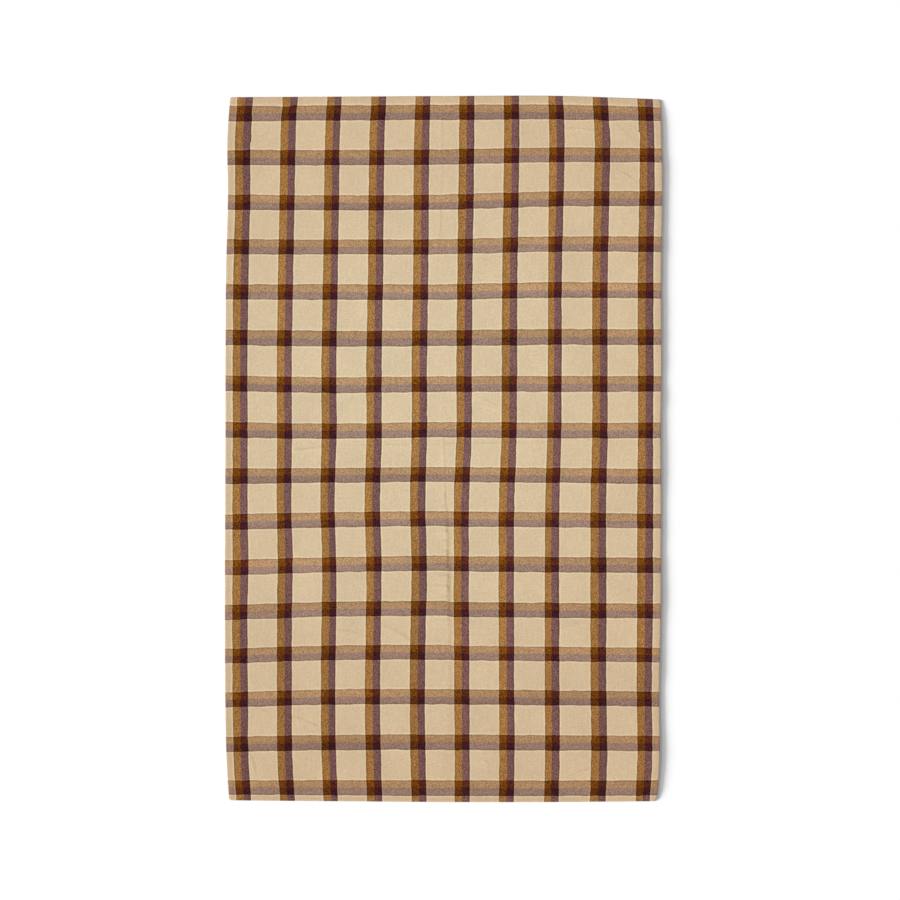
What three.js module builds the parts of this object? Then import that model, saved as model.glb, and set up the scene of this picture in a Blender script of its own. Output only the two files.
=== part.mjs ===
// A checked tablecloth laid out flat: one woven length with a narrow turned hem on all four sides.
// Millimetres, +Z up. X runs across the cloth, Y along it, and the table top is the plane Z = 0.
// u and v are a point's place on the cloth as it was cut, measured from its middle.
// x, y and z are where that point has come to lie.

import * as THREE from "three";
import { mergeVertices } from "three/addons/utils/BufferGeometryUtils.js";

const WIDTH = 1600;
const LENGTH = 2600;
const THICKNESS = 1.2;
const HEM_WIDTH = 12;
const HEM_THICKNESS = 2.4;
const HEM_SHOULDER = 3;

// How far the point of each corner is drawn in along both of its edges
const CORNERS = [
  { name: "far left", sideU: -1, sideV: 1, blunting: 2 },
  { name: "far right", sideU: 1, sideV: 1, blunting: 3 },
  { name: "near left", sideU: -1, sideV: -1, blunting: 3 },
  { name: "near right", sideU: 1, sideV: -1, blunting: 6 },
];

// How far the cloth has been pushed to the right of its square, at sections from the near hem to the far one
const SIDEWAYS_PLACES = { left: -800, middle: 0, right: 800 };
const SIDEWAYS = [
  { along: -1300, left: 12, middle: -12, right: -14 },
  { along: -1140, left: 3, middle: -13, right: -4 },
  { along: -890, left: -2, middle: -15, right: -5 },
  { along: -540, left: -3, middle: -13, right: 1 },
  { along: -190, left: -2, middle: -15, right: 2 },
  { along: 60, left: -1, middle: -7, right: 0 },
  { along: 300, left: -1, middle: -7, right: 3 },
  { along: 640, left: 1, middle: -3, right: 2 },
  { along: 940, left: 8, middle: 2, right: 6 },
  { along: 1150, left: 6, middle: 4, right: 3 },
  { along: 1300, left: 16, middle: 5, right: -1 },
];

// How far it has been pushed towards the far hem, at the same sections
const LENGTHWISE_PLACES = { left: -800, leftQuarter: -400, middle: 0, rightQuarter: 400, right: 800 };
const LENGTHWISE = [
  { along: -1300, left: 7, leftQuarter: 4, middle: 1, rightQuarter: 1, right: 4 },
  { along: -1140, left: 0, leftQuarter: 3, middle: 3, rightQuarter: 2, right: 1 },
  { along: -890, left: -6, leftQuarter: 5, middle: 6, rightQuarter: 2, right: -3 },
  { along: -540, left: -13, leftQuarter: -4, middle: -3, rightQuarter: -8, right: -12 },
  { along: -190, left: -11, leftQuarter: -7, middle: -5, rightQuarter: -8, right: -12 },
  { along: 60, left: -7, leftQuarter: -11, middle: -7, rightQuarter: -10, right: -10 },
  { along: 300, left: -3, leftQuarter: -7, middle: -4, rightQuarter: -3, right: -3 },
  { along: 640, left: 2, leftQuarter: 2, middle: 3, rightQuarter: 12, right: 10 },
  { along: 940, left: 0, leftQuarter: -2, middle: 2, rightQuarter: 13, right: 16 },
  { along: 1150, left: -2, leftQuarter: -1, middle: 2, rightQuarter: 8, right: 3 },
  { along: 1300, left: -5, leftQuarter: -3, middle: -1, rightQuarter: 0, right: -13 },
];

// The packing fold that runs the length of the cloth: where its crest lies, how high it stands, and how far
// its sides reach before the crest (to the left) and after it (to the right)
const CENTRE_FOLD = [
  { along: -1300, crest: 20, height: 0, before: 60, after: 20 },
  { along: -1050, crest: 22, height: 0.6, before: 80, after: 20 },
  { along: -860, crest: 20, height: 1.0, before: 100, after: 20 },
  { along: -700, crest: 16, height: 1.5, before: 120, after: 22 },
  { along: -600, crest: 12, height: 2.5, before: 160, after: 23 },
  { along: -550, crest: 12, height: 3.6, before: 180, after: 23 },
  { along: -400, crest: 12, height: 3.6, before: 180, after: 23 },
  { along: -300, crest: 11, height: 2.8, before: 160, after: 20 },
  { along: -230, crest: 8, height: 2.0, before: 120, after: 15 },
  { along: -170, crest: 5, height: 1.5, before: 50, after: 7 },
  { along: -110, crest: 4, height: 0.8, before: 30, after: 6 },
  { along: 0, crest: 2, height: 1.2, before: 25, after: 6 },
  { along: 60, crest: -2, height: 0.8, before: 20, after: 6 },
  { along: 110, crest: -5, height: 0.2, before: 20, after: 6 },
  { along: 380, crest: -12, height: 0.2, before: 20, after: 6 },
  { along: 640, crest: -25, height: 0.3, before: 20, after: 6 },
  { along: 760, crest: -18, height: 0.7, before: 20, after: 6 },
  { along: 820, crest: -12, height: 1.1, before: 20, after: 6 },
  { along: 890, crest: -12, height: 1.1, before: 20, after: 6 },
  { along: 950, crest: -9, height: 0.5, before: 20, after: 6 },
  { along: 1130, crest: -6, height: 0.7, before: 20, after: 7 },
  { along: 1300, crest: -6, height: 0.3, before: 20, after: 7 },
];

// The packing fold across the middle, whose sides reach before its crest (nearer) and after it (farther)
const CROSS_FOLD = [
  { along: -800, crest: -8, height: 0.2, before: 20, after: 6 },
  { along: -580, crest: -7, height: 0.6, before: 20, after: 6 },
  { along: -550, crest: -4, height: 1.6, before: 20, after: 5 },
  { along: -455, crest: 4, height: 1.6, before: 20, after: 5 },
  { along: -430, crest: 7, height: 0.4, before: 20, after: 6 },
  { along: -330, crest: 12, height: 0.4, before: 20, after: 6 },
  { along: -290, crest: 12, height: 0.9, before: 20, after: 5 },
  { along: -225, crest: 15, height: 0.9, before: 20, after: 5 },
  { along: -120, crest: 15, height: 0.9, before: 20, after: 5 },
  { along: 0, crest: 17, height: 0.8, before: 20, after: 5 },
  { along: 110, crest: 20, height: 0.9, before: 20, after: 5 },
  { along: 210, crest: 20, height: 0.9, before: 20, after: 5 },
  { along: 280, crest: 18, height: 0.9, before: 20, after: 5 },
  { along: 375, crest: 21, height: 0.6, before: 20, after: 6 },
  { along: 435, crest: 35, height: 1.2, before: 20, after: 5 },
  { along: 540, crest: 34, height: 1.2, before: 20, after: 5 },
  { along: 640, crest: 33, height: 0.4, before: 20, after: 6 },
  { along: 800, crest: 33, height: 0.2, before: 20, after: 6 },
];

// The packing fold across the near quarter, broken up into slanting wrinkles
const QUARTER_FOLD = [
  { along: -800, crest: -668, height: 0, before: 40, after: 16 },
  { along: -560, crest: -674, height: 0.6, before: 40, after: 16 },
  { along: -450, crest: -648, height: 0.6, before: 40, after: 16 },
  { along: -400, crest: -666, height: 1.1, before: 40, after: 16 },
  { along: -290, crest: -692, height: 1.1, before: 40, after: 16 },
  { along: -225, crest: -650, height: 1.1, before: 40, after: 16 },
  { along: -120, crest: -708, height: 1.2, before: 40, after: 16 },
  { along: -60, crest: -677, height: 0.6, before: 40, after: 16 },
  { along: 150, crest: -688, height: 0.5, before: 40, after: 16 },
  { along: 320, crest: -712, height: 0.6, before: 40, after: 16 },
  { along: 430, crest: -665, height: 1.1, before: 40, after: 16 },
  { along: 540, crest: -635, height: 1.1, before: 40, after: 16 },
  { along: 600, crest: -651, height: 0.5, before: 40, after: 16 },
  { along: 715, crest: -632, height: 0.5, before: 40, after: 16 },
  { along: 800, crest: -640, height: 0, before: 40, after: 16 },
];

// The grid that the sheet is built on: its widest step, the lines beside each fold's crest, where the
// folds would lie if they had not wandered, and how far from a fold the lines bend to stay beside it
const WIDEST_STEP = 60;
const LINES_BESIDE_FOLD = [-24, -8, 0, 6, 12, 24];
const CENTRE_LINE = 0;
const CROSS_LINE = 15;
const QUARTER_LINE = -670;
const BENDING_REACH = 220;

// A fold's section is creased at its crest and soft at its foot
const CREASE_SHARPNESS = 1.5;

const CLOTH_COLOUR = 0xcfae80;
const CLOTH_ROUGHNESS = 0.92;

// Reads a chart of sections anywhere on the cloth, passing smoothly between its rows and its columns
function readChart(rows, places) {
  const columns = Object.keys(places);
  const stations = rows.map((row) => row.along);
  const values = rows.flatMap((row) => columns.map((column) => row[column]));
  const sections = new THREE.CubicInterpolant(stations, values, columns.length);
  return (u, v) => {
    const section = [...sections.evaluate(v)];
    return new THREE.CubicInterpolant(Object.values(places), section, 1).evaluate(u)[0];
  };
}

// Reads a fold's crest, height and reaches at any place along it
function readFold(rows) {
  const stations = rows.map((row) => row.along);
  const values = rows.flatMap((row) => [row.crest, row.height, row.before, row.after]);
  const fold = new THREE.LinearInterpolant(stations, values, 4);
  return (place) => {
    const [crest, height, before, after] = fold.evaluate(place);
    return { crest, height, before, after };
  };
}

const sideways = readChart(SIDEWAYS, SIDEWAYS_PLACES);
const lengthwise = readChart(LENGTHWISE, LENGTHWISE_PLACES);
const centreFold = readFold(CENTRE_FOLD);
const crossFold = readFold(CROSS_FOLD);
const quarterFold = readFold(QUARTER_FOLD);

// How far a fold lifts a place across it
function ridge({ crest, height, before, after }, place) {
  const reach = place < crest ? before : after;
  const away = Math.min(1, Math.abs(place - crest) / reach);
  return height * (1 - away) ** CREASE_SHARPNESS;
}

// How far the folds lift the cloth off the table
function lift(x, y) {
  return Math.hypot(ridge(centreFold(y), x), ridge(crossFold(x), y), ridge(quarterFold(x), y));
}

function inHem(u, v) {
  return Math.abs(u) >= WIDTH / 2 - HEM_WIDTH || Math.abs(v) >= LENGTH / 2 - HEM_WIDTH;
}

// Rounds off a corner by drawing its point in
function blunt(u, v) {
  const corner = CORNERS.find(({ sideU, sideV }) => u === (sideU * WIDTH) / 2 && v === (sideV * LENGTH) / 2);
  if (!corner) {
    return { u, v };
  }
  return { u: u - corner.sideU * corner.blunting, v: v - corner.sideV * corner.blunting };
}

// Where a point of the cloth lies, on its underside or on its face
function lay(u, v, onFace) {
  const cut = blunt(u, v);
  const x = cut.u + sideways(u, v);
  const y = cut.v + lengthwise(u, v);
  const thickness = inHem(u, v) ? HEM_THICKNESS : THICKNESS;
  return new THREE.Vector3(x, y, lift(x, y) + (onFace ? thickness : 0));
}

// Grid lines over one dimension of the cloth: both edges of each hem, lines beside each fold, and even steps
function gridLines(size, foldLines) {
  const hem = [0, HEM_WIDTH, HEM_WIDTH + HEM_SHOULDER].map((inset) => size / 2 - inset);
  const besideFolds = foldLines.flatMap((fold) => LINES_BESIDE_FOLD.map((step) => fold + step));
  const marks = [...hem.map((line) => -line), ...besideFolds, ...hem.toReversed()];
  return marks.flatMap((mark, i) => {
    const gap = (marks[i + 1] ?? mark) - mark;
    const steps = Math.max(1, Math.ceil(gap / WIDEST_STEP));
    return Array.from({ length: steps }, (_, step) => mark + (gap * step) / steps);
  });
}

// Bends a grid line towards a fold's crest, so that the lines beside the fold run along it
function bend(line, foldLine, crest) {
  const nearness = Math.max(0, 1 - Math.abs(line - foldLine) / BENDING_REACH);
  return line + (crest - foldLine) * nearness;
}

// The place on the cloth of the grid's crossing of a column and a row
function crossing(column, row) {
  const centre = centreFold(row).crest;
  const cross = crossFold(column).crest;
  const quarter = quarterFold(column).crest;
  const u = bend(column, CENTRE_LINE, centre - sideways(centre, row));
  const overCross = bend(row, CROSS_LINE, cross - lengthwise(column, cross));
  const v = bend(overCross, QUARTER_LINE, quarter - lengthwise(column, quarter));
  return { u, v };
}

// The laid sheet: a box with one cell for each cell of the grid, its corners then moved to where they lie
function clothGeometry() {
  const columns = gridLines(WIDTH, [CENTRE_LINE]);
  const rows = gridLines(LENGTH, [QUARTER_LINE, CROSS_LINE]);
  const across = columns.length - 1;
  const along = rows.length - 1;
  const box = new THREE.BoxGeometry(across, along, 1, across, along, 1);
  box.translate(across / 2, along / 2, 0);
  box.deleteAttribute("normal");
  box.deleteAttribute("uv");
  const sheet = mergeVertices(box);
  const places = sheet.getAttribute("position");
  for (let i = 0; i < places.count; i += 1) {
    const column = columns[Math.round(places.getX(i))];
    const row = rows[Math.round(places.getY(i))];
    const { u, v } = crossing(column, row);
    const { x, y, z } = lay(u, v, places.getZ(i) > 0);
    places.setXYZ(i, x, y, z);
  }
  sheet.computeVertexNormals();
  return sheet;
}

function makeCloth() {
  const material = new THREE.MeshStandardMaterial({
    color: CLOTH_COLOUR,
    roughness: CLOTH_ROUGHNESS,
    metalness: 0,
  });
  const cloth = new THREE.Mesh(clothGeometry(), material);
  cloth.name = "cloth";
  return cloth;
}

const tablecloth = new THREE.Group();
tablecloth.add(makeCloth());

export default tablecloth;
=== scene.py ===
"""A checked tablecloth laid out flat on a pale floor, seen from straight above.

The cloth's sizes are millimetres, and its mesh is in metres. u and v are a point's place on the cloth
as it was cut, measured from its middle, across and along. x and y are where that point has come to lie.
"""

import math

import bmesh
import bpy
import numpy as np
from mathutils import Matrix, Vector, noise


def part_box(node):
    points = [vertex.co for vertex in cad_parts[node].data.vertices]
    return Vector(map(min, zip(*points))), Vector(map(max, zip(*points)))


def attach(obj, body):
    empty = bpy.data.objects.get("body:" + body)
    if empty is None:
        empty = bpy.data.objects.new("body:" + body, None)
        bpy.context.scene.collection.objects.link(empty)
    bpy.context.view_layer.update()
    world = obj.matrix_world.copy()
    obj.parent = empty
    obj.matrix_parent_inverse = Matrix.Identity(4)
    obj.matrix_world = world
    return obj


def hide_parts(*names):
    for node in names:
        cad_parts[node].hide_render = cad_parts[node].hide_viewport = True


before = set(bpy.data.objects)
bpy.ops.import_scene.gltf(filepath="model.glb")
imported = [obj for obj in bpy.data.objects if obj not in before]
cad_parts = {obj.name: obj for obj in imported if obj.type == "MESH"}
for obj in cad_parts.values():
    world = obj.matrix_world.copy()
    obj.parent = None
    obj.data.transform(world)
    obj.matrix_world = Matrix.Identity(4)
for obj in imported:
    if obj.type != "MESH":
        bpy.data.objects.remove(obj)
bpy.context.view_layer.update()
table_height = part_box("cloth")[0].z

MM = 0.001

# The cloth as it was cut and hemmed
WIDTH = 1600
LENGTH = 2600
HEM_WIDTH = 12
STITCH_INSET = 10.2

# Corner radius, by the side of the cloth across and along
CORNER_RADII = {(-1, 1): 7, (1, 1): 10, (-1, -1): 10, (1, -1): 20}

# How far the cloth has been pushed to the right of its square, at sections from the near hem to the far:
# (along, left hem, beside it, left quarter, middle, right quarter, beside the right hem, right hem)
SIDEWAYS_PLACES = (-800, -700, -400, 0, 400, 700, 800)
SIDEWAYS = (
    (-1300, 12, 10, 0, -9, -16, -8, -14),
    (-1140, 3, 0, -7, -11, -12, -1, -4),
    (-890, -2, -2, -10, -13, -13, -4, -5),
    (-540, -3, -3, -6, -11, -13, -3, 1),
    (-420, -3, 0, -6, -10, -13, -3, 1),
    (-190, -2, -3, -12, -13, -12, -3, 2),
    (60, -1, -3, -6, -5, -5, 0, 0),
    (300, -1, -4, -7, -5, -3, 0, 3),
    (640, 1, 0, -1, -1, -2, 0, 2),
    (940, 8, 7, 3, 2, 3, 6, 6),
    (1150, 6, 9, 6, 4, 5, 7, 3),
    (1300, 16, 17, 14, 7, 1, -3, -1),
)

# How far it has been pushed towards the far hem, at the same sections:
# (along, left hem, left quarter, middle, right quarter, right hem)
LENGTHWISE_PLACES = (-800, -400, 0, 400, 800)
LENGTHWISE = (
    (-1300, 7, 4, 1, 1, 4),
    (-1140, -2, 3, 4, 2, 1),
    (-890, -6, 5, 6, 2, -3),
    (-540, -17, -5, -3, -8, -11),
    (-420, -17, -6, -1, -5, -8),
    (-190, -14, -7, -4, -7, -13),
    (60, -8, -12, -7, -10, -10),
    (300, -1, -7, -4, -2, -2),
    (640, 3, 3, 3, 11, 9),
    (940, 0, -2, 1, 12, 14),
    (1150, -3, -1, 1, 6, 1),
    (1240, -6, -3, -1, 0, -7),
    (1300, -5, -3, -1, 0, -13),
)

# Cloth that the three lengthwise folds take up, and how far one side has slipped along the centre fold:
# (along, left quarter fold, centre fold, right quarter fold, slip)
TAKEN_UP = (
    (-1300, 3, 3, 5, 0),
    (-1020, 3, 1, 6, 0),
    (-750, 3, 3, 6, 3),
    (-620, 3, 6, 6, 3),
    (-540, 3, 10, 7, 3),
    (-400, 6, 10, 8, 2),
    (-270, 5, 7, 8, 2),
    (-190, 4, 5, 7, 1),
    (60, 1, 1, 7, 0),
    (300, 2, 2, 8, 0),
    (640, 3, 3, 8, 0),
    (790, 2, 2, 4, 0),
    (940, 1, 0, 1, 0),
    (1300, 3, 1, 1, 0),
)
QUARTER_FOLD_PLACE = 400
QUARTER_TAKE_UP_REACH = 60
CENTRE_TAKE_UP_REACH = 250

# How far from a fold's middle the pull towards it, or the slip along it, has most of its strength
QUARTER_TURN = 8
CENTRE_TURN = 12
SLIP_TURN = 8

# The packing folds: (place along the fold, where its crest lies, how high it stands,
# how far its side towards the left or the near hem reaches, how far its other side reaches)
CENTRE_FOLD = (
    (-1300, 20, 0, 60, 20),
    (-1050, 22, 0.6, 80, 20),
    (-860, 20, 1.0, 100, 20),
    (-700, 16, 1.5, 120, 22),
    (-600, 12, 2.5, 160, 23),
    (-550, 10, 3.6, 180, 23),
    (-400, 8, 3.6, 180, 23),
    (-300, 7, 2.8, 160, 20),
    (-230, 6, 2.0, 120, 15),
    (-170, 5, 1.5, 50, 7),
    (-110, 4, 0.8, 30, 6),
    (0, 2, 1.2, 25, 6),
    (60, -2, 0.8, 20, 6),
    (110, -5, 0.2, 20, 6),
    (380, -12, 0.2, 20, 6),
    (640, -25, 0.3, 20, 6),
    (760, -18, 0.7, 20, 6),
    (820, -12, 1.1, 20, 6),
    (890, -12, 1.1, 20, 6),
    (950, -9, 0.5, 20, 6),
    (1130, -6, 0.7, 20, 7),
    (1300, -6, 0.3, 20, 7),
)
CROSS_FOLD = (
    (-800, -8, 0.2, 20, 6),
    (-580, -7, 0.6, 20, 6),
    (-550, -4, 1.6, 20, 5),
    (-455, 4, 1.6, 20, 5),
    (-430, 7, 0.4, 20, 6),
    (-330, 12, 0.4, 20, 6),
    (-290, 12, 0.9, 20, 5),
    (-225, 15, 0.9, 20, 5),
    (-120, 15, 0.9, 20, 5),
    (0, 17, 0.8, 20, 5),
    (110, 20, 0.9, 20, 5),
    (210, 20, 0.9, 20, 5),
    (280, 18, 0.9, 20, 5),
    (375, 21, 0.6, 20, 6),
    (435, 35, 1.2, 20, 5),
    (540, 34, 1.2, 20, 5),
    (640, 33, 0.4, 20, 6),
    (800, 33, 0.2, 20, 6),
)
QUARTER_FOLD = (
    (-800, -668, 0, 40, 16),
    (-560, -674, 0.6, 40, 16),
    (-450, -648, 0.6, 40, 16),
    (-400, -666, 1.1, 40, 16),
    (-290, -692, 1.1, 40, 16),
    (-225, -650, 1.1, 40, 16),
    (-120, -708, 1.2, 40, 16),
    (-60, -677, 0.6, 40, 16),
    (150, -688, 0.5, 40, 16),
    (320, -712, 0.6, 40, 16),
    (430, -665, 1.1, 40, 16),
    (540, -635, 1.1, 40, 16),
    (600, -651, 0.5, 40, 16),
    (715, -632, 0.5, 40, 16),
    (800, -640, 0, 40, 16),
)

# The folds and wrinkles are creased at their crests, which wander, and their heights are uneven too.
# A fold's crest wanders by another wave than its height, whose seed is FOLD_CREST_SEED more.
CREASE_SHARPNESS = 1.5
UNEVEN_CREST = 1.5
UNEVEN_HEIGHT = 0.5
FOLD_CREST_SEED = 4

# The irregular wave of a crease is a sum of plain ones: (length of a radian, shift by its seed, share)
WOBBLE_WAVES = (
    (17, 1.7, 1),
    (6.7, 1, 1),
    (2.9, 2.3, 0.6),
)

# The cloth is crushed into small dents beside the centre fold, from where the fold stands CRUSHED_FROM
# high, and most of all where it stands CRUSHED_FULLY high
CRUSHED_FROM = 1
CRUSHED_FULLY = 4
CRUSHED_HEIGHT = 1.0
CRUSHED_LENGTH = 8
CRUSHED_MARGIN = 6
CRUSHED_SEED = 5.5

# The small wrinkles: (from x, from y, to x, to y, height, reach of the steep side, cloth taken up).
# The steep side lies to the left of somebody walking along the wrinkle.
WRINKLES = (
    # Far left
    (-745, 1106, -595, 1180, 1.2, 8, 7),
    (-595, 1240, -540, 1270, 3.0, 5, 12),
    (-185, 1115, -130, 1140, 1.0, 5, 0),
    (-165, 1035, -110, 1015, 0.7, 5, 0),
    (-710, 1020, -435, 1018, 0.5, 5, 0),
    (-540, 815, -455, 817, 0.5, 5, 0),
    # Far right
    (440, 1180, 555, 1170, 1.4, 5, 3),
    (560, 1216, 622, 1174, 1.0, 5, 5),
    (620, 1205, 715, 1110, 0.7, 10, 0),
    (694, 1184, 746, 1145, 1.2, 5, 7),
    (640, 1025, 715, 980, 1.1, 6, 0),
    # Middle
    (115, 195, 215, 145, 0.8, 4, 0),
    (115, 184, 215, 134, 0.7, 4, 0),
    (-400, -190, -335, -180, 1.1, 5, 0),
    (-175, -145, -120, -170, 1.1, 5, 0),
    (100, -160, 205, -125, 1.8, 4, 2),
    (-60, -300, -35, -315, 1.0, 5, 0),
    (-510, -130, -485, -140, 1.0, 5, 0),
    (100, -300, 155, -298, 0.7, 5, 0),
    (-710, -315, -455, -313, 0.5, 6, 0),
    (-555, -500, -10, -503, 0.4, 6, 0),
    (-20, 58, 20, 76, 1.2, 5, 0),
    (115, 9, 205, 9, 0.8, 4, 0),
    (310, -30, 375, 10, 1.3, 5, 0),
    # Near the quarter fold
    (-400, -664, -290, -692, 0.9, 12, 2),
    (-225, -646, -120, -712, 0.7, 14, 3),
    (115, -660, 175, -658, 0.8, 5, 0),
    (430, -666, 540, -634, 0.9, 11, 2),
    # Near right
    (605, -555, 715, -515, 1.3, 6, 0),
    (265, -550, 345, -520, 1.1, 5, 0),
    (465, -1030, 530, -1020, 1.1, 5, 0),
    (620, -970, 710, -945, 1.1, 5, 0),
    (600, -1140, 695, -1110, 1.1, 5, 0),
    (440, -1215, 550, -1175, 1.8, 5, 4),
    (130, -1050, 185, -1035, 1.1, 5, 0),
    (145, -1145, 185, -1165, 0.9, 5, 0),
    # Near left
    (-710, -950, -610, -988, 1.2, 9, 2),
    (-620, -986, -510, -1000, 1.3, 10, 2),
    (-520, -998, -455, -1030, 1.1, 9, 2),
    (-545, -1005, -485, -1045, 0.9, 9, 0),
    (-715, -1120, -690, -1210, 1.2, 8, 0),
    (-555, -1125, -525, -1140, 0.8, 5, 0),
    (-195, -1055, -150, -1020, 1.1, 5, 0),
    (-45, -1140, -8, -1125, 1.2, 5, 0),
    (-10, -1126, 35, -1131, 1.2, 5, 0),
    (-55, -1185, -5, -1165, 0.8, 5, 0),
)

# A wrinkle's gentle side reaches this many times as far as its steep one. Its crest bows sideways by
# this share of its length, and its height fades towards both ends.
GENTLE_SIDE = 4
WRINKLE_BOW = 0.04
FADING = 0.7

# How far from a wrinkle the cloth is drawn in, and how far from the edge the stiff hem holds it back
TAKE_UP_REACH = 45
HEM_HOLD = 30

# The hem keeps its own grid lines as far in as this, and its rounded edge stands out by this much
HEM_STRIP = 24
EDGE_BULGE = 0.35

# The section of the cloth from its edge inwards: (distance in, height of the face, height of the back).
# The double turn of the hem lies under the face as far as HEM_WIDTH, and the cloth slopes down from it.
HEM_SECTION = (
    (0, 1.35, 0.8),
    (0.8, 1.8, 0.45),
    (2, 2.05, 0.3),
    (5, 2.25, 0.25),
    (9.2, 2.4, 0.25),
    (STITCH_INSET, 2.2, 0.4),
    (11.2, 2.45, 0.25),
    (HEM_WIDTH, 2.45, 0.35),
    (12.6, 2.42, 1.35),
    (16, 2.35, 0.9),
    (HEM_STRIP, 2.25, 0.3),
    (60, 1.85, 0),
    (120, 1.5, 0),
    (200, 1.2, 0),
)

# A place this close to the edge counts as on it
ON_EDGE = 0.01

# The corners lie flatter than the hems between them
CORNER_FLATNESS = 0.45
CORNER_REACH = 35

# The size of the mesh's cells between the hems, and how often they are halved near folds and wrinkles.
# The first halving reaches REFINED_MARGIN beyond a crease and each later one half as far. There is a
# little more room for a fold's wandering crest, and at a wrinkle's ends, as a share of its length.
GRID_STEP = 18
REFINEMENTS = 3
REFINED_MARGIN = 12
CREST_MARGIN = 4
END_MARGIN = 0.05

# Low unevenness over the whole cloth, and the slight waviness that sewing gives the hems
SWELL_HEIGHT = 0.5
SWELL_LENGTH = 130
SWELL_SEED = 3.5
PUCKER_HEIGHT = 0.45
PUCKER_LENGTH = 62
PUCKER_REACH = 45
PUCKER_SEED = 8.5

# Noise lies mostly well inside -1 to 1, so it is spread by this to fill the heights from 0 to 1
NOISE_SPREAD = 0.7

# The check: how wide a band is, where the first pair of bands starts at the left and at the far hem, and
# how far it is from one pair to the next. The ochre band comes first in each pair.
BAND = 28
WARP_START = -773
WARP_REPEAT = 165.5
WEFT_START = 1268
WEFT_REPEAT = 166

# The nine shades where a warp (named first) meets a weft, as they look in even light on the 0 to 255
# screen scale, and the threads' own colours, which show a little more in places
SHADES = {
    ("cream", "cream"): (218, 196, 161),
    ("ochre", "cream"): (164, 116, 57),
    ("plum", "cream"): (117, 79, 81),
    ("cream", "ochre"): (183, 146, 106),
    ("ochre", "ochre"): (120, 70, 10),
    ("plum", "ochre"): (88, 39, 27),
    ("cream", "plum"): (158, 129, 115),
    ("ochre", "plum"): (100, 53, 12),
    ("plum", "plum"): (65, 28, 33),
}
THREADS = {"cream": (226, 206, 170), "ochre": (128, 74, 14), "plum": (68, 27, 36)}
THREAD_PITCH = 0.95

# The threads wander to and fro by up to half of these widths, with about this many swings to a metre
WARP_WANDER = 4.5
WARP_WANDER_SEED = 0.7
WEFT_WANDER = 6.5
WEFT_WANDER_SEED = 1.9
WANDER_SWINGS = 22

# Slubs, where more of the warp or of the weft shows: (size across, size along). The two shares say how
# much more shows at them, and where one thread crosses over another.
WARP_FLECK = (2.8, 6.5)
WEFT_FLECK = (4.5, 2.6)
FLECK_LEAN = 0.5
CROSSING_LEAN = 0.2

# Light and dark flecks of uneven yarn: (size across, size along), their strength on the cream ground,
# and what the warp's and the weft's bands add to it
SPECKLE = (3.2, 5.0)
SPECKLE_SEED = 3.3
GROUND_SPECKLE = 0.43
WARP_SPECKLE = 1.935
WEFT_SPECKLE = 1.333

# Each pair of bands is dyed a little lighter or darker than the next: (size across, size along)
WARP_BATCH = (75, 1800)
WEFT_BATCH = (1800, 75)
UNEVEN_DYE = 0.6

# Thicker and thinner threads: streaks along and across, fine marks and broad ones:
# (size across, size along, detail, strength)
STREAKS = (
    (4.5, 60, 2, 0.16),
    (45, 4.5, 2, 0.12),
    (3.2, 3.2, 1, 0.14),
    (190, 190, 2, 0.18),
)

# The relief of the threads, of the slubs, and of the faint ripples that they draw the cloth into
THREAD_HEIGHT = 0.25
FLECK_HEIGHT = 0.25
RIPPLE = (26, 20)
RIPPLE_HEIGHT = 0.5

# A painted halo round each pair of bands. Red, green and blue are multiplied by these shares, a painted
# dark line just inside an edge and a painted highlight just outside it, at EDGE_PEAK of the way to
# EDGE_REACH.
EDGE_REACH = 7
EDGE_PEAK = 0.3
INSIDE_EDGE_PAINTED_DARKENING = (0.8, 0.72, 0.66)
OUTSIDE_EDGE_PAINTED_HIGHLIGHT = (1.09, 1.22, 1.26)

# Painted shade on the double hem: its colour is darkened to the first share below, which fades out at
# the distance after it from the edge, and red, green and blue are darkened by these powers of it, which
# makes the painted shade warm. The turned edge has more painted shade, which fades out between the two
# distances in TURNED_EDGE.
HEM_PAINTED_SHADE = 0.955
HEM_PAINTED_SHADE_REACH = 30
HEM_PAINTED_SHADE_WARMTH = (1, 1.6, 1.7)
TURNED_EDGE = (0.3, 2.5)
TURNED_EDGE_PAINTED_SHADE = 0.94

# The stitches, and the rings of thread that each is made of: (place along it in stitch lengths, size in
# thread radii, height in thread radii). A stitch tilts with the cloth, up to STITCH_TILT.
STITCH_LENGTH = 3.4
STITCH_GAP = 0.6
STITCH_RADIUS = 0.2
STITCH_SIDES = 6
STITCH_RINGS = (
    (-0.5, 0.55, -0.5),
    (-0.32, 1, 0.35),
    (0.32, 1, 0.35),
    (0.5, 0.55, -0.5),
)
STITCH_TILT = 0.3

# The darker and the lighter shade of the sewing thread, which change about this often in a metre
SEWING_THREAD = ((176, 146, 106), (212, 188, 148))
TWISTS = 1400

# The floor lies this far under the cloth and reaches this far each way
FLOOR_GAP = 0.2
FLOOR_REACH = 30000

# The lamp above: (x, y, height), its width, its power in watts and its colour
OVERHEAD_PLACE = (-120, 250, 1400)
OVERHEAD_WIDTH = 1000
OVERHEAD_POWER = 5.0
OVERHEAD_COLOUR = (0.45, 0.83, 1.0)

# The distant lights on the cloth and on the floor: (name, azimuth, elevation, softness, brightness,
# colour), with angles in degrees. Azimuth 0 is on the left, and it turns towards the near side.
CLOTH_LIGHTS = (
    ("key_light", 30, 22, 12, 0.495, (0.62, 0.8, 1.0)),
    ("fill_light", 0, 90, 60, 0.345, (1.0, 0.51, 0.13)),
)
FLOOR_LIGHTS = (
    ("low_floor_light", 0, 4.5, 5, 0.52, (1, 1, 1)),
    ("high_floor_light", 0, 8, 20, 0.22, (1, 1, 1)),
)

# The strength of the even light from all round
EVEN_LIGHT = 0.3

# Where the photograph's middle falls on the cloth, and the width that it takes in
VIEW_CENTRE = (25.2, -3.5)
VIEW_WIDTH = 3313.8
LENS = 85
SENSOR = 36


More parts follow.
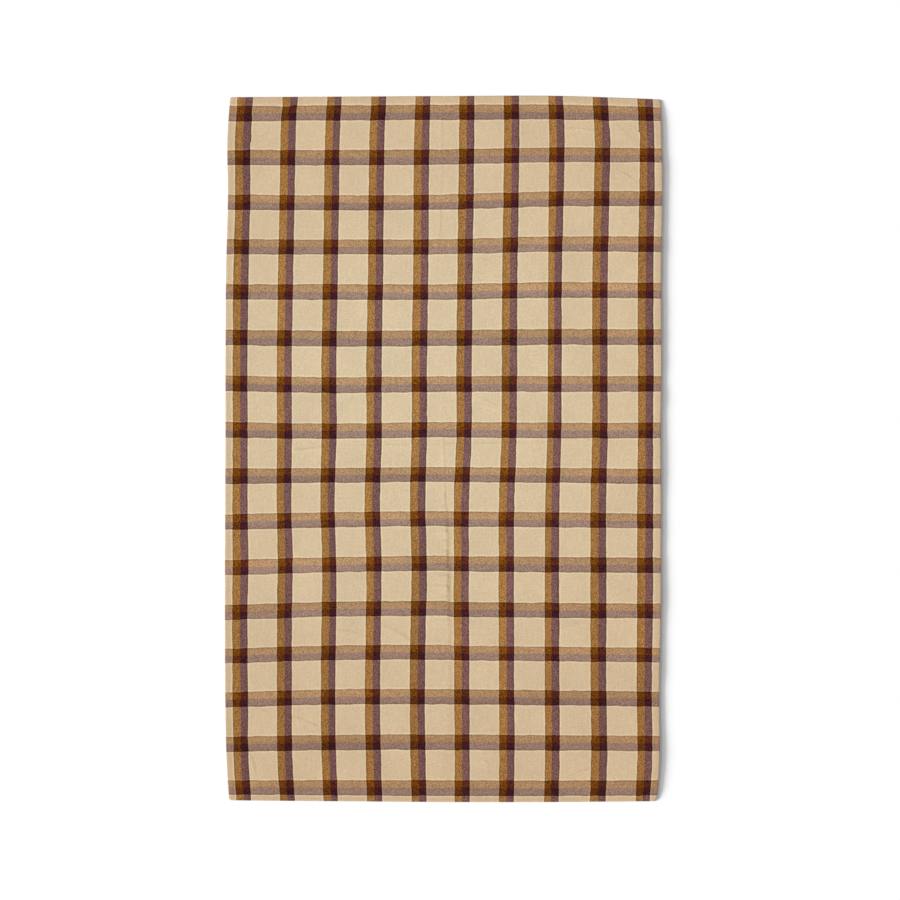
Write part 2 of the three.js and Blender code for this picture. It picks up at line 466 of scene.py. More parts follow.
def smooth_through(stations, values, at):
    """Values at the given places, on a curve through the stations. There is a row of values for each."""
    stations = np.asarray(stations, float)
    at = np.clip(at, stations[0], stations[-1])
    gaps = np.diff(stations)
    slopes = np.diff(values, axis=1) / gaps
    inner = (slopes[:, 1:] + slopes[:, :-1]) / 2
    tangents = np.concatenate([slopes[:, :1], inner, slopes[:, -1:]], axis=1)
    k = np.clip(np.searchsorted(stations, at, side="right") - 1, 0, len(gaps) - 1)
    row = np.arange(len(at))
    gap = gaps[k]
    p = (at - stations[k]) / gap
    start, end = values[row, k], values[row, k + 1]
    leave, arrive = tangents[row, k] * gap, tangents[row, k + 1] * gap
    return (
        (2 * p**3 - 3 * p**2 + 1) * start
        + (p**3 - 2 * p**2 + p) * leave
        + (3 * p**2 - 2 * p**3) * end
        + (p**3 - p**2) * arrive
    )


def read_chart(chart, places, u, v):
    """A chart of sections read anywhere on the cloth."""
    chart = np.asarray(chart, float)
    along = [
        smooth_through(chart[:, 0], np.tile(column, (len(v), 1)), v)
        for column in chart[:, 1:].T
    ]
    return smooth_through(places, np.stack(along, axis=1), u)


def ridge(distance, before, after):
    """The section of a ridge one unit high, creased at its crest and soft at its foot."""
    reach = np.where(distance < 0, before, after)
    return np.maximum(0, 1 - np.abs(distance) / reach) ** CREASE_SHARPNESS


def wobble(along, seed):
    """An irregular wave between -1 and 1 for a distance along a crease, in millimetres."""
    waves = sum(share * np.sin(along / length + shift * seed) for length, shift, share in WOBBLE_WAVES)
    return waves / sum(share for _, _, share in WOBBLE_WAVES)


def beside_fold(fold, along, across):
    """Distance from a packing fold's crest, the fold's height there, and the reach of both its sides."""
    stations, crests, *sizes = np.asarray(fold, float).T
    height, before, after = (np.interp(along, stations, size) for size in sizes)
    return across - np.interp(along, stations, crests), height, before, after


def fold_lift(fold, along, across):
    """How far a packing fold lifts the cloth. Where its second section lies is its seed."""
    distance, height, before, after = beside_fold(fold, along, across)
    seed = fold[1][1]
    uneven = 1 + UNEVEN_HEIGHT * wobble(along, seed)
    distance = distance + UNEVEN_CREST * wobble(along, seed + FOLD_CREST_SEED)
    return height * uneven * ridge(distance, before, after)


def crushing(x, y):
    """The small dents in the steep side of the centre fold."""
    distance, height, _, after = beside_fold(CENTRE_FOLD, y, x)
    reach = after / 2 + CRUSHED_MARGIN
    share = np.clip((height - CRUSHED_FROM) / (CRUSHED_FULLY - CRUSHED_FROM), 0, 1)
    share = share * ridge(distance - after / 2, reach, reach)
    return CRUSHED_HEIGHT * share * unevenness(x, y, CRUSHED_LENGTH, CRUSHED_SEED)


def beside_wrinkle(wrinkle, x, y):
    """A point's share of the way along a wrinkle, and its signed distance to one side of it."""
    from_x, from_y, to_x, to_y = wrinkle[:4]
    length = math.hypot(to_x - from_x, to_y - from_y)
    way_x, way_y = (to_x - from_x) / length, (to_y - from_y) / length
    share = ((x - from_x) * way_x + (y - from_y) * way_y) / length
    side = (y - from_y) * way_x - (x - from_x) * way_y
    bow = WRINKLE_BOW * length * np.sin(np.pi * np.clip(share, 0, 1))
    return share, side - bow


def fading(share):
    """A wrinkle rises from nothing at one end and falls to nothing at the other."""
    return np.sin(np.pi * np.clip(share, 0, 1)) ** FADING


def wrinkle_lift(x, y):
    """How far the small wrinkles lift the cloth."""
    lift = np.zeros_like(x)
    for wrinkle in WRINKLES:
        height, steep = wrinkle[4:6]
        share, side = beside_wrinkle(wrinkle, x, y)
        along = share * math.hypot(wrinkle[2] - wrinkle[0], wrinkle[3] - wrinkle[1])
        side = side + UNEVEN_CREST * wobble(along, wrinkle[0])
        uneven = fading(share) * (1 + UNEVEN_HEIGHT * wobble(along, wrinkle[1]))
        lift = np.maximum(lift, height * uneven * ridge(side, GENTLE_SIDE * steep, steep))
    return lift


def take_up(u, v, x, y):
    """How far wrinkles that take up some of the cloth draw it in; the stiff hems stay put."""
    moved_x, moved_y = np.zeros_like(x), np.zeros_like(y)
    held = 1 - np.exp(-((inset(u, v) / HEM_HOLD) ** 2))
    for wrinkle in WRINKLES:
        from_x, from_y, to_x, to_y, _, steep, taken = wrinkle
        if not taken:
            continue
        length = math.hypot(to_x - from_x, to_y - from_y)
        share, side = beside_wrinkle(wrinkle, x, y)
        pull = held * fading(share) * drawn_in(side, taken, steep / 2, TAKE_UP_REACH)
        moved_x -= pull * (to_y - from_y) / length
        moved_y += pull * (to_x - from_x) / length
    return moved_x, moved_y


def drawn_in(distance, taken, middle, reach):
    """How far a place beside a fold is drawn towards it: by half of the cloth taken up, or less."""
    return -taken / 2 * np.tanh(distance / middle) * np.exp(-((distance / reach) ** 2))


def fold_take_up(u, v, x, y):
    """How far the lengthwise folds draw the cloth in, and how far it slipped along the centre fold."""
    stations, left, centre, right, slip = np.asarray(TAKEN_UP, float).T
    past_crest, _, _, after = beside_fold(CENTRE_FOLD, y, x)
    from_centre = past_crest - after / 2
    left, centre, right, slip = (np.interp(v, stations, taken) for taken in (left, centre, right, slip))
    moved = drawn_in(u + QUARTER_FOLD_PLACE, left, QUARTER_TURN, QUARTER_TAKE_UP_REACH)
    moved += drawn_in(u - QUARTER_FOLD_PLACE, right, QUARTER_TURN, QUARTER_TAKE_UP_REACH)
    moved += drawn_in(from_centre, centre, CENTRE_TURN, CENTRE_TAKE_UP_REACH)
    return moved, drawn_in(from_centre, slip, SLIP_TURN, CENTRE_TAKE_UP_REACH)


def unevenness(x, y, wave, seed):
    """A smooth random height from 0 to 1 at each place, with swells of about the given length."""
    heights = [noise.noise((a / wave, b / wave, seed)) for a, b in zip(x, y)]
    return np.clip(0.5 + NOISE_SPREAD * np.array(heights), 0, 1)


def inset(u, v):
    """Distance in from the nearest edge of the cloth."""
    return np.minimum(WIDTH / 2 - np.abs(u), LENGTH / 2 - np.abs(v))


def near_corner(u, v):
    """How near a place is to one of the cloth's corners: 1 at the corner, and nothing far from it."""
    distance = np.hypot(WIDTH / 2 - np.abs(u), LENGTH / 2 - np.abs(v))
    return np.exp(-((distance / CORNER_REACH) ** 2))


def round_corners(u, v):
    """Bends the square of cloth at each corner into a quarter disc."""
    u, v = u.copy(), v.copy()
    for (side_u, side_v), radius in CORNER_RADII.items():
        out_u = side_u * u - (WIDTH / 2 - radius)
        out_v = side_v * v - (LENGTH / 2 - radius)
        corner = (out_u > 0) & (out_v > 0)
        a, b = out_u[corner] / radius, out_v[corner] / radius
        u[corner] = side_u * (WIDTH / 2 - radius + radius * a * np.sqrt(1 - b * b / 2))
        v[corner] = side_v * (LENGTH / 2 - radius + radius * b * np.sqrt(1 - a * a / 2))
    return u, v


def lay(u, v):
    """Where points of the cloth lie on the table, and how far the cloth is lifted off it there."""
    cut_u, cut_v = round_corners(u, v)
    x = cut_u + read_chart(SIDEWAYS, SIDEWAYS_PLACES, u, v)
    y = cut_v + read_chart(LENGTHWISE, LENGTHWISE_PLACES, u, v)
    fold_x, fold_y = fold_take_up(u, v, x, y)
    drawn_x, drawn_y = take_up(u, v, x, y)
    folds = (fold_lift(CENTRE_FOLD, y, x), fold_lift(CROSS_FOLD, x, y), fold_lift(QUARTER_FOLD, x, y))
    lift = np.sqrt(sum(fold**2 for fold in folds) + wrinkle_lift(x, y) ** 2)
    lift += crushing(x, y)
    lift += SWELL_HEIGHT * unevenness(x, y, SWELL_LENGTH, SWELL_SEED)
    puckers = unevenness(x, y, PUCKER_LENGTH, PUCKER_SEED) * np.exp(-inset(u, v) / PUCKER_REACH)
    lift += PUCKER_HEIGHT * puckers
    return x + fold_x + drawn_x, y + fold_y + drawn_y, lift * (1 - near_corner(u, v))


def grid_lines(size):
    """Grid lines over one dimension of the cloth: close together at the hems, and even between them."""
    insets = [row[0] for row in HEM_SECTION if row[0] <= HEM_STRIP]
    inner = size / 2 - HEM_STRIP
    steps = math.ceil(2 * inner / GRID_STEP)
    middle = list(np.linspace(-inner, inner, steps + 1))[1:-1]
    low = [step - size / 2 for step in insets]
    return low + middle + [-line for line in reversed(low)]


def flat_grid():
    """The cut cloth as a flat mesh in u and v."""
    sheet = bmesh.new()
    columns, rows = grid_lines(WIDTH), grid_lines(LENGTH)
    corners = [[sheet.verts.new((u, v, 0)) for u in columns] for v in rows]
    for low, high in zip(corners, corners[1:]):
        for k in range(len(columns) - 1):
            sheet.faces.new((low[k], low[k + 1], high[k + 1], high[k]))
    return sheet


def near_creases(x, y, margin):
    """Which places lie on a fold or a wrinkle, or within a margin of one."""
    near = np.zeros(len(x), bool)
    for fold, along, across in ((CENTRE_FOLD, y, x), (CROSS_FOLD, x, y), (QUARTER_FOLD, x, y)):
        distance, _, _, after = beside_fold(fold, along, across)
        near |= (distance > -margin - CREST_MARGIN) & (distance < after + margin)
    for wrinkle in WRINKLES:
        share, side = beside_wrinkle(wrinkle, x, y)
        reach = wrinkle[5] + margin
        near |= (share > -END_MARGIN) & (share < 1 + END_MARGIN) & (np.abs(side) < reach)
    return near


def refine(sheet):
    """Divides the cells near folds and wrinkles, leaving the hems as they are."""
    for step in range(REFINEMENTS):
        centres = np.array([face.calc_center_median()[:2] for face in sheet.faces])
        u, v = centres.T
        x, y, _ = lay(u, v)
        chosen = near_creases(x, y, REFINED_MARGIN / 2**step) & (inset(u, v) > HEM_STRIP)
        edges = {edge for face, keep in zip(sheet.faces, chosen) if keep for edge in face.edges}
        edges = [edge for edge in edges if min(inset_of(edge)) >= HEM_STRIP]
        bmesh.ops.subdivide_edges(sheet, edges=edges, cuts=1, use_grid_fill=True)


def inset_of(edge):
    """The distances in from the cloth's edge of both ends of a mesh edge."""
    return [float(inset(vert.co.x, vert.co.y)) for vert in edge.verts]


def as_lists(sheet):
    """A flat mesh's places in u and v, and its faces."""
    sheet.verts.index_update()
    places = np.array([vert.co[:2] for vert in sheet.verts])
    return places, [[vert.index for vert in face.verts] for face in sheet.faces]


def rim_loop(places):
    """The vertices along the cloth's edge, in order round it."""
    u, v = places.T
    on_rim = np.flatnonzero(inset(u, v) < ON_EDGE)
    order = np.argsort(np.arctan2(v[on_rim] / LENGTH, u[on_rim] / WIDTH))
    return on_rim[order]


def section_height(u, v, column):
    """Height of the face (1) or of the back (2) above the table where the cloth lies flat."""
    section = np.asarray(HEM_SECTION, float)
    height = np.interp(inset(u, v), section[:, 0], section[:, column])
    return height * (1 - CORNER_FLATNESS * near_corner(u, v))


def rim_places(places, x, y, lift):
    """The middle of the hem's rounded edge: a little outside the edges of the face and the back."""
    u, v = places.T
    on_edge = np.stack([np.abs(u) > WIDTH / 2 - ON_EDGE, np.abs(v) > LENGTH / 2 - ON_EDGE])
    outwards = on_edge * np.sign([u, v])
    outwards = outwards / np.linalg.norm(outwards, axis=0)
    height = lift + (section_height(u, v, 1) + section_height(u, v, 2)) / 2
    return np.stack([x + EDGE_BULGE * outwards[0], y + EDGE_BULGE * outwards[1], height], axis=1)


def mesh_of(name, corners, faces):
    """A mesh object of corners in millimetres above the table."""
    mesh = bpy.data.meshes.new(name)
    corners = corners * MM
    corners[:, 2] += table_height
    mesh.from_pydata([tuple(corner) for corner in corners], [], faces)
    mesh.update()
    piece = bpy.data.objects.new(name, mesh)
    bpy.context.scene.collection.objects.link(piece)
    mesh.shade_smooth()
    return piece


def add_cloth_map(mesh, places):
    """Stores each corner's place on the cut cloth, in metres, as a UV map."""
    layer = mesh.uv_layers.new(name="cut_cloth")
    corner_of = np.zeros(len(mesh.loops), np.int32)
    mesh.loops.foreach_get("vertex_index", corner_of)
    layer.data.foreach_set("uv", (places[corner_of] * MM).astype(np.float32).ravel())


def make_cloth():
    """The woven sheet: its face, its back and the rounded edge of its hem, closed into one body."""
    face_sheet, back_sheet = flat_grid(), flat_grid()
    refine(face_sheet)
    face, face_cells = as_lists(face_sheet)
    back, back_cells = as_lists(back_sheet)
    face_sheet.free()
    back_sheet.free()

    face_x, face_y, face_lift = lay(*face.T)
    back_x, back_y, back_lift = lay(*back.T)
    face_corners = np.stack([face_x, face_y, face_lift + section_height(*face.T, 1)], axis=1)
    back_corners = np.stack([back_x, back_y, back_lift + section_height(*back.T, 2)], axis=1)
    face_rim, back_rim = rim_loop(face), rim_loop(back)
    edge = rim_places(face[face_rim], face_x[face_rim], face_y[face_rim], face_lift[face_rim])

    first_back, first_edge = len(face), len(face) + len(back)
    faces = list(face_cells)
    faces += [[first_back + corner for corner in reversed(cell)] for cell in back_cells]
    count = len(face_rim)
    for k in range(count):
        after = (k + 1) % count
        middle, middle_after = first_edge + k, first_edge + after
        faces.append([face_rim[k], middle, middle_after, face_rim[after]])
        faces.append([middle, first_back + back_rim[k], first_back + back_rim[after], middle_after])

    piece = mesh_of("woven_cloth", np.concatenate([face_corners, back_corners, edge]), faces)
    add_cloth_map(piece.data, np.concatenate([face, back, face[face_rim]]))
    return piece


def stitch_line():
    """Places of the stitches along the four hems: (u, v, along u, along v), one row for each."""
    half_u, half_v = WIDTH / 2 - STITCH_INSET, LENGTH / 2 - STITCH_INSET
    sides = (
        ((-half_u, -half_v), (1, 0), 2 * half_u),
        ((half_u, -half_v), (0, 1), 2 * half_v),
        ((half_u, half_v), (-1, 0), 2 * half_u),
        ((-half_u, half_v), (0, -1), 2 * half_v),
    )
    rows = []
    for (start_u, start_v), (way_u, way_v), length in sides:
        count = round(length / (STITCH_LENGTH + STITCH_GAP))
        for k in range(count):
            far = (k + 0.5) * length / count
            rows.append((start_u + way_u * far, start_v + way_v * far, way_u, way_v))
    return np.array(rows)


def stitch_shape():
    """One stitch along X: rings of a thread that rises out of the cloth and dips back into it."""
    corners = []
    for far, size, height in STITCH_RINGS:
        for k in range(STITCH_SIDES):
            turn = 2 * math.pi * k / STITCH_SIDES
            across, up = size * math.cos(turn), height + math.sin(turn)
            corners.append((far * STITCH_LENGTH, STITCH_RADIUS * across, STITCH_RADIUS * up))
    first_ring = list(range(STITCH_SIDES))
    last_start = (len(STITCH_RINGS) - 1) * STITCH_SIDES
    cells = []
    for start in range(0, last_start, STITCH_SIDES):
        for k in first_ring:
            low, low_after = start + k, start + (k + 1) % STITCH_SIDES
            cells.append([low, low_after, low_after + STITCH_SIDES, low + STITCH_SIDES])
    cells.append(first_ring[::-1])
    cells.append([last_start + k for k in first_ring])
    return np.array(corners), cells


def make_stitches(name, column, side):
    """The line of stitches on the face (column 1, side 1) or on the back (column 2, side -1)."""
    line = stitch_line()
    shape, cells = stitch_shape()
    u, v, way_u, way_v = line.T
    x, y, lift = lay(u, v)
    ahead_x, ahead_y, ahead_lift = lay(u + way_u, v + way_v)
    ways = np.stack([ahead_x - x, ahead_y - y], axis=1)
    ways /= np.linalg.norm(ways, axis=1, keepdims=True)
    rise = np.clip(ahead_lift - lift, -STITCH_TILT, STITCH_TILT)
    base = lift + section_height(u, v, column)
    far, across, height = shape.T
    corners, faces = [], []
    for k in range(len(line)):
        way_x, way_y = ways[k]
        stitch_x = x[k] + far * way_x - side * across * way_y
        stitch_y = y[k] + far * way_y + side * across * way_x
        stitch_z = base[k] + far * rise[k] + side * height
        corners.append(np.stack([stitch_x, stitch_y, stitch_z], axis=1))
        faces += [[k * len(shape) + corner for corner in cell] for cell in cells]
    return mesh_of(name, np.concatenate(corners), faces)


class Nodes:
    """A material's node tree, built from the cloth outwards."""

    def __init__(self, name):
        self.material = bpy.data.materials.new(name)
        self.material.use_nodes = True
        self.tree = self.material.node_tree
        self.tree.nodes.clear()

    def add(self, kind, inputs=None, **settings):
        """A new node. Each input is a value or another node's output."""
        node = self.tree.nodes.new(kind)
        for name, value in settings.items():
            setattr(node, name, value)
        for name, value in (inputs or {}).items():
            if isinstance(value, bpy.types.NodeSocket):
                self.tree.links.new(value, node.inputs[name])
            else:
                node.inputs[name].default_value = value
        return node

    def math(self, operation, a, b=0, c=0):
        return self.add("ShaderNodeMath", {0: a, 1: b, 2: c}, operation=operation).outputs[0]

    def vector_math(self, operation, inputs):
        return self.add("ShaderNodeVectorMath", inputs, operation=operation).outputs[0]

    def multiplied(self, a, b):
        """Two colours or places multiplied part by part."""
        return self.vector_math("MULTIPLY", {0: a, 1: b})

    def scaled(self, vector, share):
        """A colour or place with all its parts multiplied by one number."""
        return self.vector_math("SCALE", {0: vector, "Scale": share})

    def shifted(self, place, distance):
        """A place moved off along the third axis, so that a noise differs there from the others."""
        return self.vector_math("ADD", {0: place, 1: (0, 0, distance)})

    def blend(self, share, a, b):
        """The first colour, with the given share of the second mixed in."""
        return self.add("ShaderNodeMix", {0: share, 6: a, 7: b}, data_type="RGBA").outputs[2]

    def noise(self, place, scale, detail=1):
        inputs = {"Vector": place, "Scale": scale, "Detail": detail}
        return self.add("ShaderNodeTexNoise", inputs).outputs["Fac"]

    def flecks(self, place, size, detail=1):
        """Noise in flecks of about the given millimetres across and along."""
        across, along = size
        steps = self.multiplied(place, (1 / (across * MM), 1 / (along * MM), 1))
        return self.noise(steps, 1, detail)

    def varied(self, noise, strength, around=1):
        """A value moved up or down with a noise, by up to half of the strength."""
        return self.math("MULTIPLY_ADD", self.math("SUBTRACT", noise, 0.5), strength, around)

    def rising(self, distance, start, end, low):
        """A share that rises from its low value to 1 between two distances in millimetres."""
        inputs = {0: distance, 1: start * MM, 2: end * MM, 3: low, 4: 1}
        return self.add("ShaderNodeMapRange", inputs, interpolation_type="SMOOTHSTEP").outputs[0]

    def ramp(self, place, stops, interpolation="CONSTANT"):
        """A colour looked up at a place between 0 and 1."""
        node = self.add("ShaderNodeValToRGB", {0: place})
        ramp = node.color_ramp
        ramp.interpolation = interpolation
        ramp.elements[0].position, ramp.elements[0].color = stops[0]
        ramp.elements[1].position, ramp.elements[1].color = stops[1]
        for position, colour in stops[2:]:
            ramp.elements.new(position).color = colour
        return node.outputs[0]

    def surfaced(self, inputs):
        """The finished material, with a surface of the given inputs."""
        surface = self.add("ShaderNodeBsdfPrincipled", inputs)
        self.add("ShaderNodeOutputMaterial", {"Surface": surface.outputs[0]})
        return self.material


class Weave(Nodes):
    """The nodes of the woven check, starting from a place on the cut cloth and among its bands."""

    def __init__(self, name):
        super().__init__(name)
        self.place = self.add("ShaderNodeUVMap", uv_map="cut_cloth").outputs[0]
        parts = self.add("ShaderNodeSeparateXYZ", {0: self.place})
        self.across, self.along = parts.outputs[0], parts.outputs[1]
        warp_place = self.wandering(self.across, WARP_WANDER, WARP_WANDER_SEED)
        weft_place = self.wandering(self.along, WEFT_WANDER, WEFT_WANDER_SEED)
        self.warp_share = self.repeat_share(warp_place, WARP_START, WARP_REPEAT, 1)
        self.weft_share = self.repeat_share(weft_place, WEFT_START, WEFT_REPEAT, -1)
        self.in_warp_bands = self.math("LESS_THAN", self.warp_share, 2 * BAND / WARP_REPEAT)
        self.in_weft_bands = self.math("LESS_THAN", self.weft_share, 2 * BAND / WEFT_REPEAT)

    def wandering(self, distance, reach, seed):
        """A distance across the threads, moved to and fro by up to half of the reach as they wander."""
        swings = self.noise(self.shifted(self.place, seed), WANDER_SWINGS)
        return self.varied(swings, reach * MM, distance)

    def repeat_share(self, place, start, repeat, direction):
        """How far a place is through the check's repeat, from 0 to 1."""
        repeats_to_metre = direction / (repeat * MM)
        repeats = self.math("MULTIPLY_ADD", place, repeats_to_metre, -direction * start / repeat)
        return self.math("FRACT", repeats)

    def crossing_shade(self):
        """The even shade where a warp meets a weft."""
        shades = {}
        for weft in THREADS:
            colours = {warp: SHADES[warp, weft] for warp in THREADS}
            shades[weft] = self.ramp(self.warp_share, band_stops(WARP_REPEAT, colours))
        in_ochre = self.math("LESS_THAN", self.weft_share, BAND / WEFT_REPEAT)
        banded = self.blend(in_ochre, shades["plum"], shades["ochre"])
        return self.blend(self.in_weft_bands, shades["cream"], banded)

    def crossing_wave(self):
        """Threads over and under each other: from -1 to 1, with the warp on top where it is high."""
        turn = math.pi / (THREAD_PITCH * MM)
        warp_wave = self.math("SINE", self.math("MULTIPLY", self.across, turn))
        weft_wave = self.math("SINE", self.math("MULTIPLY", self.along, turn))
        return self.math("MULTIPLY", warp_wave, weft_wave)

    def leaned(self, shade, over, warp_fleck, weft_fleck):
        """The shade with a little more of one thread than of the other showing here and there."""
        warp_thread = self.ramp(self.warp_share, band_stops(WARP_REPEAT, THREADS))
        weft_thread = self.ramp(self.weft_share, band_stops(WEFT_REPEAT, THREADS))
        flecks = self.math("MULTIPLY", self.math("SUBTRACT", warp_fleck, weft_fleck), FLECK_LEAN)
        lean = self.math("MULTIPLY_ADD", over, CROSSING_LEAN, flecks)
        to_warp = self.math("MAXIMUM", lean, 0)
        to_weft = self.math("MAXIMUM", self.math("MULTIPLY", lean, -1), 0)
        return self.blend(to_weft, self.blend(to_warp, shade, warp_thread), weft_thread)

    def band_edge_painted_halo(self, share, repeat):
        """A painted halo: what the colour is multiplied by beside the edges of a pair of bands.

        The ramp holds half of it, so that none of its colours is over 1.
        """
        from_middle = self.math("MULTIPLY_ADD", share, repeat, -BAND)
        from_middle = self.math("WRAP", from_middle, repeat / 2, -repeat / 2)
        outside = self.math("SUBTRACT", self.math("ABSOLUTE", from_middle), BAND)
        place = self.math("MULTIPLY_ADD", outside, 0.5 / EDGE_REACH, 0.5)
        plain = (1, 1, 1)
        inner, outer = 0.5 - EDGE_PEAK / 2, 0.5 + EDGE_PEAK / 2
        stops = ((0, plain), (inner, INSIDE_EDGE_PAINTED_DARKENING), (0.5, plain), (outer, OUTSIDE_EDGE_PAINTED_HIGHLIGHT), (1, plain))
        halved = [(position, (*(share / 2 for share in shares), 1)) for position, shares in stops]
        return self.scaled(self.ramp(place, halved, "LINEAR"), 2)

    def dye(self):
        """Each pair of bands is dyed a little lighter or darker than the next."""
        warp_dye = self.varied(self.flecks(self.place, WARP_BATCH), self.in_warp_bands, 0)
        both = self.varied(self.flecks(self.place, WEFT_BATCH), self.in_weft_bands, warp_dye)
        return self.math("MULTIPLY_ADD", both, UNEVEN_DYE, 1)

    def speckle(self):
        """Light and dark flecks of uneven yarn, stronger where a coloured thread shows."""
        strength = self.math("MULTIPLY_ADD", self.in_weft_bands, WEFT_SPECKLE, GROUND_SPECKLE)
        strength = self.math("MULTIPLY_ADD", self.in_warp_bands, WARP_SPECKLE, strength)
        return self.varied(self.flecks(self.shifted(self.place, SPECKLE_SEED), SPECKLE), strength)

    def tone(self):
        """How light the cloth is, with its dye, its speckle and its thicker and thinner threads."""
        tone = self.math("MULTIPLY", self.dye(), self.speckle())
        for across, along, detail, strength in STREAKS:
            streaks = self.flecks(self.place, (across, along), detail)
            tone = self.math("MULTIPLY", tone, self.varied(streaks, strength))
        return tone

    def hemmed(self, colour):
        """A colour with painted shade: a little darker and warmer on the double hem, darker on its
        turned edge.
        """
        from_side = self.math("SUBTRACT", WIDTH / 2 * MM, self.math("ABSOLUTE", self.across))
        from_end = self.math("SUBTRACT", LENGTH / 2 * MM, self.math("ABSOLUTE", self.along))
        from_edge = self.math("MINIMUM", from_side, from_end)
        # Painted shade: darker and warmer over the hem, darker again on the turned edge
        hem = self.rising(from_edge, HEM_WIDTH, HEM_PAINTED_SHADE_REACH, HEM_PAINTED_SHADE)
        edge = self.rising(from_edge, *TURNED_EDGE, TURNED_EDGE_PAINTED_SHADE)
        powers = {k: self.math("POWER", hem, power) for k, power in enumerate(HEM_PAINTED_SHADE_WARMTH)}
        warm_painted_shade = self.add("ShaderNodeCombineXYZ", powers).outputs[0]
        return self.scaled(self.multiplied(colour, warm_painted_shade), edge)

    def relief(self, over, warp_fleck):
        """Which way the surface faces, with the fine relief of its threads, slubs and ripples."""
        height = self.math("MULTIPLY", self.math("ABSOLUTE", over), THREAD_HEIGHT)
        height = self.math("MULTIPLY_ADD", warp_fleck, FLECK_HEIGHT, height)
        ripples = self.flecks(self.place, RIPPLE, 2)
        height = self.math("MULTIPLY_ADD", ripples, RIPPLE_HEIGHT, height)
        return self.add("ShaderNodeBump", {"Strength": 1, "Distance": MM, "Height": height}).outputs[0]


def rgb(red, green, blue):
    """A linear colour from one given on the 0 to 255 screen scale, by the sRGB curve."""
    channels = []
    for level in (red, green, blue):
        share = level / 255
        linear = share / 12.92 if share <= 0.04045 else ((share + 0.055) / 1.055) ** 2.4
        channels.append(linear)
    return (*channels, 1)


def band_stops(repeat, colours):
    """Ramp stops over one repeat of the check: an ochre band, a plum band, and the cream ground."""
    width = BAND / repeat
    return [(k * width, rgb(*colours[name])) for k, name in enumerate(("ochre", "plum", "cream"))]


def cloth_material():
    """Plain weave of cream, ochre and plum thread with slubs and flecks, and painted shade and halos."""
    nodes = Weave("woven_check")
    over = nodes.crossing_wave()
    warp_fleck = nodes.flecks(nodes.place, WARP_FLECK)
    weft_fleck = nodes.flecks(nodes.place, WEFT_FLECK)
    colour = nodes.leaned(nodes.crossing_shade(), over, warp_fleck, weft_fleck)
    # Painted halo at the edges of the warp's and the weft's bands: painted dark lines inside, painted
    # highlights outside
    colour = nodes.multiplied(colour, nodes.band_edge_painted_halo(nodes.warp_share, WARP_REPEAT))
    colour = nodes.multiplied(colour, nodes.band_edge_painted_halo(nodes.weft_share, WEFT_REPEAT))
    return nodes.surfaced({
        "Base Color": nodes.hemmed(nodes.scaled(colour, nodes.tone())),
        "Roughness": 0.92,
        "Specular IOR Level": 0.05,
        "Sheen Weight": 0.02,
        "Sheen Roughness": 0.6,
        "Normal": nodes.relief(over, warp_fleck),
    })


def thread_material():
    """Cream sewing thread, a little darker than the cloth."""
    nodes = Nodes("sewing_thread")
    twist = nodes.noise(nodes.add("ShaderNodeTexCoord").outputs["Object"], TWISTS)
    dark, light = SEWING_THREAD
    colour = nodes.blend(twist, rgb(*dark), rgb(*light))
    return nodes.surfaced({"Base Color": colour, "Roughness": 0.6, "Specular IOR Level": 0.3})


def floor_material():
    """Smooth matt white card."""
    nodes = Nodes("white_floor")
    white = (0.98, 0.98, 0.98, 1)
    return nodes.surfaced({"Base Color": white, "Roughness": 0.9, "Specular IOR Level": 0})


def make_floor():
    """A wide plane just under the cloth."""
    square = ((-1, -1), (1, -1), (1, 1), (-1, 1))
    corners = np.array([(FLOOR_REACH * x, FLOOR_REACH * y, -FLOOR_GAP) for x, y in square])
    floor = mesh_of("floor", corners, [(0, 1, 2, 3)])
    floor.data.materials.append(floor_material())
    return floor


def hang(light, things):
    """A lamp whose light reaches the given objects only."""
    lamp = bpy.data.objects.new(light.name, light)
    bpy.context.scene.collection.objects.link(lamp)
    lit = bpy.data.collections.new(light.name + "_lights")
    for thing in things:
        lit.objects.link(thing)
    lamp.light_linking.receiver_collection = lit
    return lamp


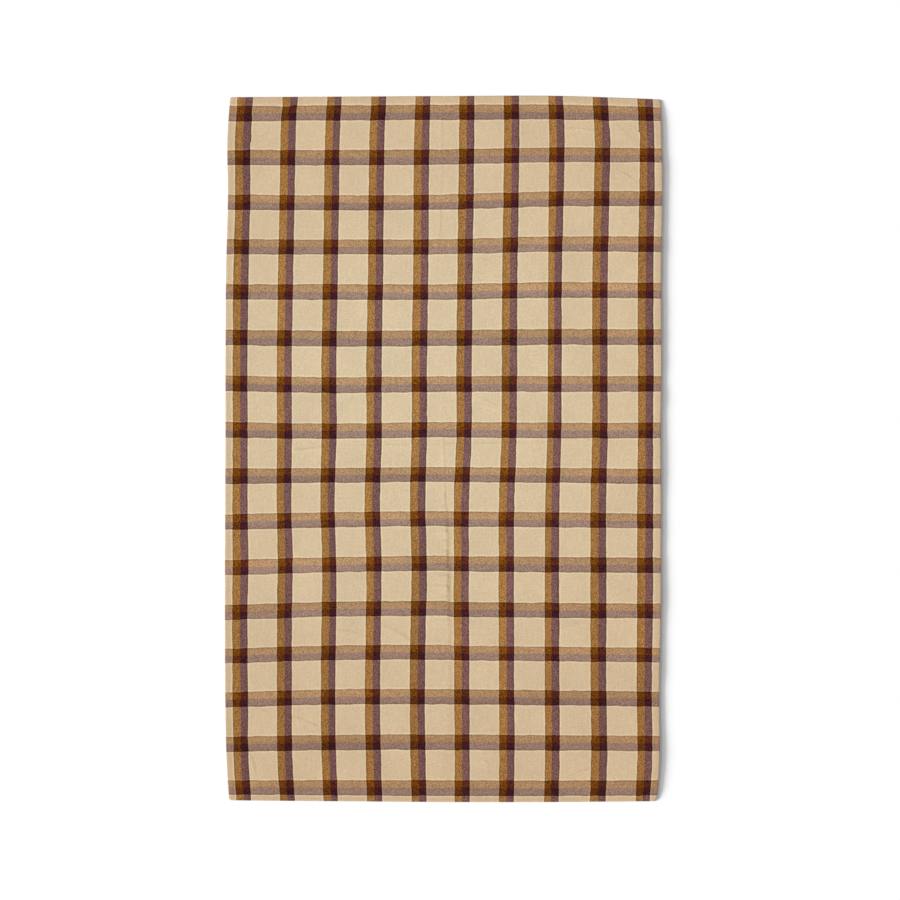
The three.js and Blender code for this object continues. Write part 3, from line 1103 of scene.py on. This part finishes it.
def add_sun(name, azimuth, elevation, softness, brightness, colour, things):
    """A distant light. Brightness is the share of full white that it adds to a flat white surface."""
    light = bpy.data.lights.new(name, "SUN")
    light.color = colour
    light.energy = brightness * math.pi / math.sin(math.radians(elevation))
    light.angle = math.radians(softness)
    turn, rise = math.radians(azimuth), math.radians(elevation)
    level = math.cos(rise)
    towards = Vector((-math.cos(turn) * level, -math.sin(turn) * level, math.sin(rise)))
    hang(light, things).rotation_euler = towards.to_track_quat("Z", "Y").to_euler()


def add_overhead(things):
    """A soft cool lamp over the middle of the cloth, which leaves the hems and corners less bright."""
    light = bpy.data.lights.new("overhead_light", "AREA")
    light.shape = "DISK"
    light.size = OVERHEAD_WIDTH * MM
    light.energy = OVERHEAD_POWER
    light.color = OVERHEAD_COLOUR
    lamp = hang(light, things)
    lamp.location = [place * MM for place in OVERHEAD_PLACE]
    lamp.visible_camera = False


def set_lights(cloth_pieces, floor):
    """Even light, lights on the cloth, and low lights that throw its shadow on the floor."""
    scene = bpy.context.scene
    scene.view_settings.view_transform = "Standard"
    scene.world = bpy.data.worlds.new("studio")
    scene.world.use_nodes = True
    background = scene.world.node_tree.nodes["Background"]
    background.inputs["Color"].default_value = (1, 1, 1, 1)
    background.inputs["Strength"].default_value = EVEN_LIGHT
    for sun in CLOTH_LIGHTS:
        add_sun(*sun, cloth_pieces)
    add_overhead(cloth_pieces)
    for sun in FLOOR_LIGHTS:
        add_sun(*sun, [floor])


def set_camera():
    """Straight above, far enough away to take in the photograph's width of floor."""
    camera = bpy.data.cameras.new("camera")
    camera.lens = LENS
    camera.sensor_width = SENSOR
    placed = bpy.data.objects.new("camera", camera)
    height = VIEW_WIDTH * MM * LENS / SENSOR
    placed.location = (VIEW_CENTRE[0] * MM, VIEW_CENTRE[1] * MM, table_height + height)
    bpy.context.scene.collection.objects.link(placed)
    bpy.context.scene.camera = placed


cloth = make_cloth()
cloth.data.materials.append(cloth_material())
face_stitches = make_stitches("hem_stitches_face", 1, 1)
back_stitches = make_stitches("hem_stitches_back", 2, -1)
thread = thread_material()
for stitches in (face_stitches, back_stitches):
    stitches.data.materials.append(thread)

floor = make_floor()
set_lights([cloth, face_stitches, back_stitches], floor)
set_camera()

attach(cloth, "root")
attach(face_stitches, "root")
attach(back_stitches, "root")
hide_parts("cloth")
